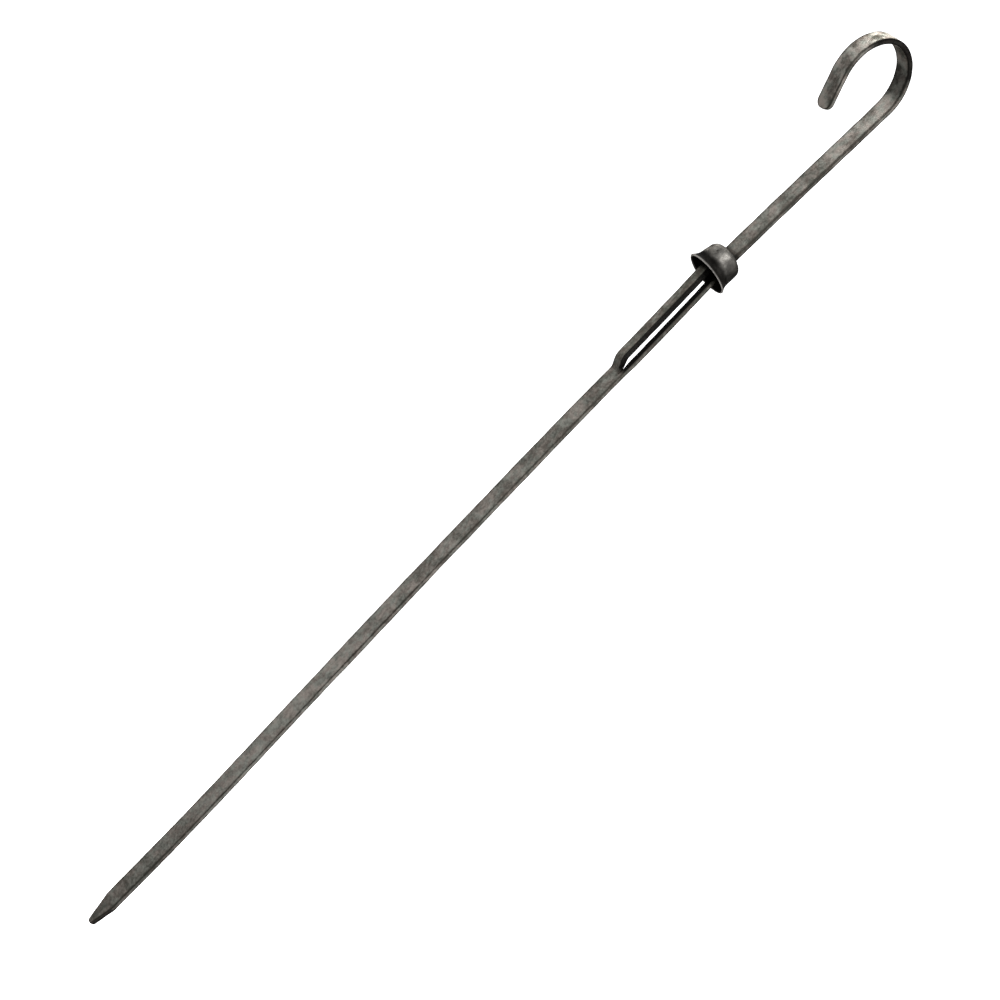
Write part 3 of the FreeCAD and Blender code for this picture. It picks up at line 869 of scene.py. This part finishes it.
BEVEL = 0.4
crown_out = crown_rings(0.0, BEVEL, 14)
crown_in = crown_rings(BELL_WALL, 0.0, 9)[::-1]
side_out = turned_rings(outer)[1:]
lip_rings = turned_rings(lip)[1:-1]
side_in = turned_rings(inner)[::-1][:-1]
bevel_angle = np.linspace(0, math.pi / 2, 4)[:-1]
bevel_top = dome_height(slot_ring(BEVEL), 0.0)[:, None]
bevel = np.stack([
    np.concatenate([slot_ring(BEVEL * (1 - math.cos(a))), bevel_top - BEVEL * (1 - math.sin(a))], -1)
    for a in bevel_angle
])
slot_wall = crown_in[-1] + (bevel[0] - crown_in[-1]) * np.linspace(0, 1, 4)[1:-1, None, None]
bell_rings = np.concatenate([crown_out, side_out, lip_rings, side_in, crown_in, slot_wall, bevel])
print("bell rings:", len(bell_rings), "of", AROUND, "points")

# %% [markdown]
# ## Dents, tilt and place of the bell
#
# The bell is worked while it stands upright at the origin, where its axis is
# simple. It gets a slightly oval mouth, soft dents, and one small pit in its
# side, below the shoulder. Then the whole grid is leaned back about the
# sideways axis and moved to where it rests on the eye's shoulder.

# %% The bell piece
PIT_ANGLE = math.radians(-83)
PIT_RADIUS = 18.4
PIT_HEIGHT = 17.3
PIT_SIZE = 1.1
PIT_DEPTH = 0.35
DENT_DEPTH = 0.13
DIMPLE_DEPTH = 0.04
BELL_TOOTH = 0.012
OVAL = 0.012
# LIP_RING and LIP_SPREAD place the lip's painted highlight.
LIP_RING = 3.4
LIP_SPREAD = 2.2
# The next two place the painted shade in the flare's hollow.
BELL_SHADE_TOP = 13.5
BELL_SHADE_FADE = 6.5
# The next two place the painted shade on one side of the bell.
SIDE_SHADE_FROM = 3.0
SIDE_SHADE_FADE = 14.0
ring_count = len(bell_rings)
bell_points = bell_rings.reshape(-1, 3)
bell_index = np.arange(len(bell_points)).reshape(ring_count, AROUND)
wrap = np.vstack([bell_index, bell_index[:1]])
bell_quads = skin(wrap)[:, ::-1]
bell_outward = surface_directions(bell_points, bell_quads, np.zeros((0, 3), int))

upright = bell_points.copy()
free = smooth_step((np.hypot(upright[:, 0], upright[:, 1]) - 11.0) / 3.0)
dents = DENT_DEPTH * waves(upright, 11, 16, 34) + DIMPLE_DEPTH * waves(upright, 12, 4, 9)
dents = dents + BELL_TOOTH * waves(upright, 13, 1.6, 3)
pit = np.array([PIT_RADIUS * math.cos(PIT_ANGLE), PIT_RADIUS * math.sin(PIT_ANGLE), PIT_HEIGHT])
in_pit = np.exp(-((upright - pit) ** 2).sum(1) / PIT_SIZE**2)
bell_points = upright + bell_outward * ((dents * free) - PIT_DEPTH * in_pit)[:, None]
round_axis = np.arctan2(upright[:, 1], upright[:, 0])
oval = OVAL * smooth_step((12.0 - upright[:, 2]) / 12.0) * np.cos(2 * round_axis - 0.7)
bell_points[:, :2] *= (1 + oval)[:, None]

c, s = math.cos(BELL_TILT), math.sin(BELL_TILT)
leaned = np.stack([
    bell_points[:, 0], bell_points[:, 1] * c + bell_points[:, 2] * s,
    bell_points[:, 2] * c - bell_points[:, 1] * s,
], -1)
bell_in_place = leaned + np.array([
    BELL_ASIDE * RIGHTWARD.x, BELL_ASIDE * RIGHTWARD.y - RIM_FORWARD, RIM_HEIGHT,
])

ring_number = np.repeat(np.arange(ring_count), AROUND)
first_lip = len(crown_out) + len(side_out)
last_lip = first_lip + len(lip_rings)
# The mark below paints the bell's inside, from the lip's inner edge round to the slot, nearly black:
# painted shade.
inside_mark = smooth_step((ring_number - last_lip + 2) / 3.0)
# The mark below is a band round the lip, centred where the crown light's reflection falls: rubbed steel
# with a painted highlight.
lip_highlight_mark = np.exp(-((ring_number - (first_lip + LIP_RING)) / LIP_SPREAD) ** 2)
# The mark below paints the outside of the bell near black from 13.5 mm above the rim down to the lip's
# outer edge: painted shade in the flare's hollow.
flare_mark = smooth_step((BELL_SHADE_TOP - upright[:, 2]) / BELL_SHADE_FADE) * (ring_number < first_lip + 2)
# The mark below darkens the bell's side towards RIGHTWARD, the camera's right, from 3 mm off its axis:
# painted shade.
to_right = upright @ np.array([RIGHTWARD.x, RIGHTWARD.y, 0.0])
side_shade_mark = smooth_step((to_right - SIDE_SHADE_FROM) / SIDE_SHADE_FADE)
bell = make_piece(
    "loose_bell", bell_in_place, bell_quads.tolist(),
    {"inside": inside_mark, "lip": lip_highlight_mark, "flare": flare_mark, "side_shade": side_shade_mark, "pit": in_pit},
    "bell", "bell",
)

# %% [markdown]
# ## Helpers for node materials
#
# A material is a small graph of nodes. These helpers add one node each and
# join it up, so that the materials below read like a recipe.

# %% Node helpers
def new_material(name):
    """A material with its Principled shader and the object coordinates."""
    material = bpy.data.materials.new(name)
    material.use_nodes = True
    tree = material.node_tree
    shader = next(n for n in tree.nodes if n.type == "BSDF_PRINCIPLED")
    coords = tree.nodes.new("ShaderNodeTexCoord").outputs["Object"]
    return material, tree, shader, coords


def join(tree, source, socket):
    """Link an output to a socket, or set the socket to a plain value."""
    if isinstance(source, bpy.types.NodeSocket):
        tree.links.new(source, socket)
    else:
        socket.default_value = source


def noise(tree, coords, scale, detail=3.0, rough=0.55, stretch=(1, 1, 1), warp=0.0):
    """Cloudy noise with about scale clouds to the metre, stretched by axis."""
    mapping = tree.nodes.new("ShaderNodeMapping")
    tree.links.new(coords, mapping.inputs["Vector"])
    mapping.inputs["Scale"].default_value = stretch
    clouds = tree.nodes.new("ShaderNodeTexNoise")
    tree.links.new(mapping.outputs[0], clouds.inputs["Vector"])
    clouds.inputs["Scale"].default_value = scale
    clouds.inputs["Detail"].default_value = detail
    clouds.inputs["Roughness"].default_value = rough
    clouds.inputs["Distortion"].default_value = warp
    return clouds.outputs["Fac"]


def span(tree, value, low, high, to_low=0.0, to_high=1.0):
    """Carry value from low..high to to_low..to_high with a smooth step."""
    node = tree.nodes.new("ShaderNodeMapRange")
    node.interpolation_type = "SMOOTHSTEP"
    join(tree, value, node.inputs["Value"])
    for name, number in zip(("From Min", "From Max", "To Min", "To Max"), (low, high, to_low, to_high)):
        node.inputs[name].default_value = number
    return node.outputs[0]


def math_node(tree, operation, a, b):
    """One sum of two numbers: ADD, MULTIPLY, MAXIMUM and so on."""
    node = tree.nodes.new("ShaderNodeMath")
    node.operation = operation
    join(tree, a, node.inputs[0])
    join(tree, b, node.inputs[1])
    return node.outputs[0]


def blend_colours(tree, factor, a, b, way="MIX"):
    """Mix two colours by a factor."""
    node = tree.nodes.new("ShaderNodeMix")
    node.data_type = "RGBA"
    node.blend_type = way
    join(tree, factor, node.inputs["Factor"])
    join(tree, a if isinstance(a, bpy.types.NodeSocket) else (*a, 1), node.inputs["A"])
    join(tree, b if isinstance(b, bpy.types.NodeSocket) else (*b, 1), node.inputs["B"])
    return node.outputs["Result"]


def mark(tree, name):
    """A named number kept on the mesh."""
    node = tree.nodes.new("ShaderNodeAttribute")
    node.attribute_name = name
    return node.outputs["Fac"]


def bump(tree, height, strength, distance, under=None):
    """Turn a height field into a shading normal."""
    node = tree.nodes.new("ShaderNodeBump")
    node.inputs["Strength"].default_value = strength
    node.inputs["Distance"].default_value = distance
    join(tree, height, node.inputs["Height"])
    if under is not None:
        tree.links.new(under, node.inputs["Normal"])
    return node.outputs[0]


# %% [markdown]
# ## Forged steel
#
# The bar is mild steel with its mill scale partly wire-brushed away and a thin wax over it: a warm dark
# grey, mottled in patches of a centimetre or two, with a faint tint that drifts between green and brown. A
# dark line of scale is left along the long edges. The eye, the bar in and under the bell, the inside where
# the hook's curl starts and the sides of the point are painted black as shade, and the brightness along the
# bar is partly wear and partly painted light and shade. Steel and scale both reflect like metal, so one
# metal shader with a mottled colour and roughness does it, with fine bump for the tooth of the scale.
# EDGE_ON and BELL_EDGE_ON hold down the reflection at grazing angles.

# %% The forged steel material
# The first colour is black, used both for scale and for painted shade.
BLACK_SCALE_AND_SHADE = (0.0055, 0.005, 0.0048)
DARK_SCALE = (0.060, 0.057, 0.051)
BRUSHED = (0.243, 0.233, 0.218)
WORN_BRIGHT = (0.300, 0.285, 0.262)
EDGE_SCALE = (0.026, 0.024, 0.022)
EDGE_ON = (0.30, 0.29, 0.28, 1)
BELL_EDGE_ON = (0.10, 0.10, 0.10, 1)
GREENISH = (0.95, 1.0, 0.96)
BROWNISH = (1.05, 0.98, 0.94)
METAL = 0.9
GLANCING = 0.2

steel, tree, shader, coords = new_material("forged_steel")
patches = noise(tree, coords, 70, 3, 0.55, (1, 1, 0.8), 0.3)
blotches = noise(tree, coords, 220, 4, 0.6, (1, 1, 0.8), 0.2)
specks = noise(tree, coords, 420, 4, 0.65)
grain = noise(tree, coords, 1500, 2, 0.6)
tints = noise(tree, coords, 170, 2, 0.5, (1, 1, 0.8))

mottle = math_node(tree, "MULTIPLY", span(tree, patches, 0.34, 0.68, -0.20, 0.17), mark(tree, "mottled"))
# The rubbed mark adds brightness along the bar: partly wear, partly painted light and shade.
bright = math_node(tree, "ADD", mottle, mark(tree, "rubbed"))
bright = math_node(tree, "ADD", bright, span(tree, blotches, 0.32, 0.68, -0.12, 0.12))
bright = math_node(tree, "ADD", bright, span(tree, specks, 0.3, 0.7, -0.16, 0.16))
edge_scale = math_node(tree, "MULTIPLY", mark(tree, "edge"), span(tree, blotches, 0.3, 0.7, -0.75, -0.35))
bright = math_node(tree, "ADD", bright, edge_scale)
colour = blend_colours(tree, span(tree, bright, -0.1, 1.0), DARK_SCALE, BRUSHED)
colour = blend_colours(tree, span(tree, bright, 0.85, 1.7), colour, WORN_BRIGHT)
lined = math_node(tree, "MULTIPLY", mark(tree, "edge"), span(tree, blotches, 0.3, 0.7, 0.42, 0.20))
colour = blend_colours(tree, lined, colour, EDGE_SCALE)
tint = blend_colours(tree, span(tree, tints, 0.35, 0.65), GREENISH, BROWNISH)
colour = blend_colours(tree, 1.0, colour, tint, "MULTIPLY")
# The black mark: black scale on the hook's arch sides, and painted shade in the eye, in and under the bell,
# inside the curl's start and on the point's sides.
black = math_node(tree, "MULTIPLY", mark(tree, "black"), span(tree, specks, 0.2, 0.6, 1.0, 0.92))
colour = blend_colours(tree, black, colour, BLACK_SCALE_AND_SHADE)
join(tree, colour, shader.inputs["Base Color"])
shader.inputs["Metallic"].default_value = METAL
rough = math_node(
    tree, "ADD", span(tree, patches, 0.3, 0.7, 0.56, 0.44), span(tree, grain, 0.3, 0.7, -0.05, 0.05)
)
rough = math_node(tree, "ADD", rough, math_node(tree, "MULTIPLY", black, 0.15))
join(tree, rough, shader.inputs["Roughness"])
tooth = bump(tree, grain, 0.25, 0.0002)
join(tree, bump(tree, specks, 0.35, 0.0006, tooth), shader.inputs["Normal"])
shader.inputs["Specular Tint"].default_value = EDGE_ON
shader.inputs["Specular IOR Level"].default_value = GLANCING
forging.data.materials.append(steel)
print("forged steel uses", len(tree.nodes), "nodes")

# %% [markdown]
# ## Bell steel
#
# The bell was pressed and left with a darker, more even satin scale. The hollow of the flare and one side
# of the bell are painted near black as shade, and the flare is made rougher. The lip is rubbed by the bar
# and by hands and carries a painted highlight, and the inside is painted nearly black as shade.

# %% The bell steel material
BELL_DARK = (0.042, 0.040, 0.037)
BELL_LIGHT = (0.120, 0.115, 0.106)
# The first colour below is the near-black painted shade of the flare's hollow and of one side; the second,
# the lip's painted highlight.
BELL_SHADE = (0.0055, 0.005, 0.0045)
LIP_HIGHLIGHT = (0.74, 0.71, 0.67)

bell_steel, tree, shader, coords = new_material("bell_steel")
patches = noise(tree, coords, 75, 4, 0.6, (1, 1, 1), 0.3)
specks = noise(tree, coords, 420, 3, 0.6)
grain = noise(tree, coords, 1700, 2, 0.6)
colour = blend_colours(tree, span(tree, patches, 0.32, 0.68), BELL_DARK, BELL_LIGHT)
colour = blend_colours(tree, span(tree, specks, 0.55, 0.8, 0, 0.5), colour, BELL_DARK)
# Painted shade: the flare's hollow is darkened towards near black.
painted_bell_shade = math_node(tree, "MULTIPLY", mark(tree, "flare"), span(tree, patches, 0.3, 0.7, 1.0, 0.9))
# Painted shade: one side of the bell is darkened as well.
painted_bell_shade = math_node(tree, "MAXIMUM", painted_bell_shade, math_node(tree, "MULTIPLY", mark(tree, "side_shade"), 0.8))
colour = blend_colours(tree, painted_bell_shade, colour, BELL_SHADE)
# Painted highlight: a bright band round the lip, over rubbed steel.
lip_highlight = math_node(tree, "MULTIPLY", mark(tree, "lip"), span(tree, specks, 0.3, 0.65, 0.55, 1.0))
colour = blend_colours(tree, lip_highlight, colour, LIP_HIGHLIGHT)
# Painted shade: the bell's inside is made nearly black.
colour = blend_colours(tree, mark(tree, "inside"), colour, BLACK_SCALE_AND_SHADE)
# Painted shade: the pit is made nearly black.
colour = blend_colours(tree, mark(tree, "pit"), colour, BLACK_SCALE_AND_SHADE)
join(tree, colour, shader.inputs["Base Color"])
shader.inputs["Metallic"].default_value = METAL
rough = math_node(
    tree, "ADD", span(tree, patches, 0.3, 0.7, 0.50, 0.40), span(tree, grain, 0.3, 0.7, -0.04, 0.04)
)
rough = math_node(tree, "ADD", rough, math_node(tree, "MULTIPLY", mark(tree, "inside"), 0.25))
flare_rough = math_node(tree, "MULTIPLY", mark(tree, "flare"), 0.4)
clean = math_node(tree, "SUBTRACT", 1.0, lip_highlight)
rough = math_node(tree, "ADD", rough, math_node(tree, "MULTIPLY", flare_rough, clean))
join(tree, rough, shader.inputs["Roughness"])
tooth = bump(tree, grain, 0.2, 0.0002)
join(tree, bump(tree, specks, 0.25, 0.0004, tooth), shader.inputs["Normal"])
shader.inputs["Specular Tint"].default_value = BELL_EDGE_ON
shader.inputs["Specular IOR Level"].default_value = GLANCING
bell.data.materials.append(bell_steel)
print("bell steel uses", len(tree.nodes), "nodes")

# %% [markdown]
# ## Floor and light
#
# The stake stands on its point on a wide white floor, in a white room that
# gives light from all round, so floor and room melt into one plain ground.
# Dark metal shows what it reflects. The room is left dim on the camera's
# side, as a real one is, and that draws the soft dark line along every edge
# that faces the camera. One large soft light above and behind brightens the
# top of the hook, and a smaller one above the camera's side lights the crown
# of the bell.

# %% The floor
FLOOR_RADIUS = 40.0
FLOOR_DROP = -0.002
FLOOR_SIDES = 96
angle = np.linspace(0, 2 * math.pi, FLOOR_SIDES, endpoint=False)
rings = np.array([0.3, 1.0, 4.0, 12.0, FLOOR_RADIUS])[:, None]
floor_points = np.stack([rings * np.cos(angle), rings * np.sin(angle), 0 * rings * angle + FLOOR_DROP], -1)
floor_rows = np.arange(floor_points.shape[0] * 96).reshape(-1, FLOOR_SIDES)
middle = floor_rows.size
floor_faces = skin(floor_rows)[:, ::-1].tolist() + fan(floor_rows[0], middle, False).tolist()
floor_mesh = bpy.data.meshes.new("floor")
floor_mesh.from_pydata(floor_points.reshape(-1, 3).tolist() + [(0, 0, FLOOR_DROP)], [], floor_faces)
floor = bpy.data.objects.new("floor", floor_mesh)
bpy.context.scene.collection.objects.link(floor)
floor.visible_glossy = False
floor.visible_diffuse = False

floor_paint, tree, shader, coords = new_material("floor_paint")
shader.inputs["Base Color"].default_value = (0.93, 0.93, 0.93, 1)
shader.inputs["Roughness"].default_value = 0.9
shader.inputs["Specular IOR Level"].default_value = 0.1
floor_mesh.materials.append(floor_paint)

# %% The room's light
ROOM = 1.75
DIM_SIDE = 0.08
DIM_FLOOR = 0.35
LIGHT_DISTANCE = 1.6
LIGHT_POWER = 44

world = bpy.data.worlds.new("white_room")
bpy.context.scene.world = world
world.use_nodes = True
tree = world.node_tree
background = next(n for n in tree.nodes if n.type == "BACKGROUND")
background.inputs["Color"].default_value = (1, 1, 1, 1)
direction = tree.nodes.new("ShaderNodeTexCoord").outputs["Generated"]
towards = tree.nodes.new("ShaderNodeVectorMath")
towards.operation = "DOT_PRODUCT"
tree.links.new(direction, towards.inputs[0])
towards.inputs[1].default_value = TO_CAMERA
glow = span(tree, towards.outputs["Value"], 0.15, 0.75, ROOM, ROOM * DIM_SIDE)
upward = tree.nodes.new("ShaderNodeSeparateXYZ")
tree.links.new(direction, upward.inputs[0])
from_floor = span(tree, upward.outputs["Z"], -0.45, 0.02, DIM_FLOOR, 1.0)
join(tree, math_node(tree, "MULTIPLY", glow, from_floor), background.inputs["Strength"])


def soft_light(name, direction, distance, size, power):
    """A square area light in a direction from the stake's middle, aimed at it."""
    light = bpy.data.objects.new(name, bpy.data.lights.new(name, "AREA"))
    light.data.size = size
    light.data.energy = power
    light.location = look_at + direction.normalized() * distance
    light.rotation_mode = "QUATERNION"
    light.rotation_quaternion = direction.to_track_quat("Z", "Y")
    bpy.context.scene.collection.objects.link(light)


soft_light(
    "top_light", 0.83 * IMAGE_UP + 0.22 * IMAGE_RIGHT - 0.5 * TO_CAMERA, LIGHT_DISTANCE, 1.0, LIGHT_POWER
)
soft_light("crown_light", 0.67 * UP + 0.74 * TO_CAMERA + 0.05 * RIGHTWARD, LIGHT_DISTANCE, 0.7, LIGHT_POWER)
bpy.context.scene.view_settings.view_transform = "Standard"
print("room light", ROOM, "dim side", DIM_SIDE)
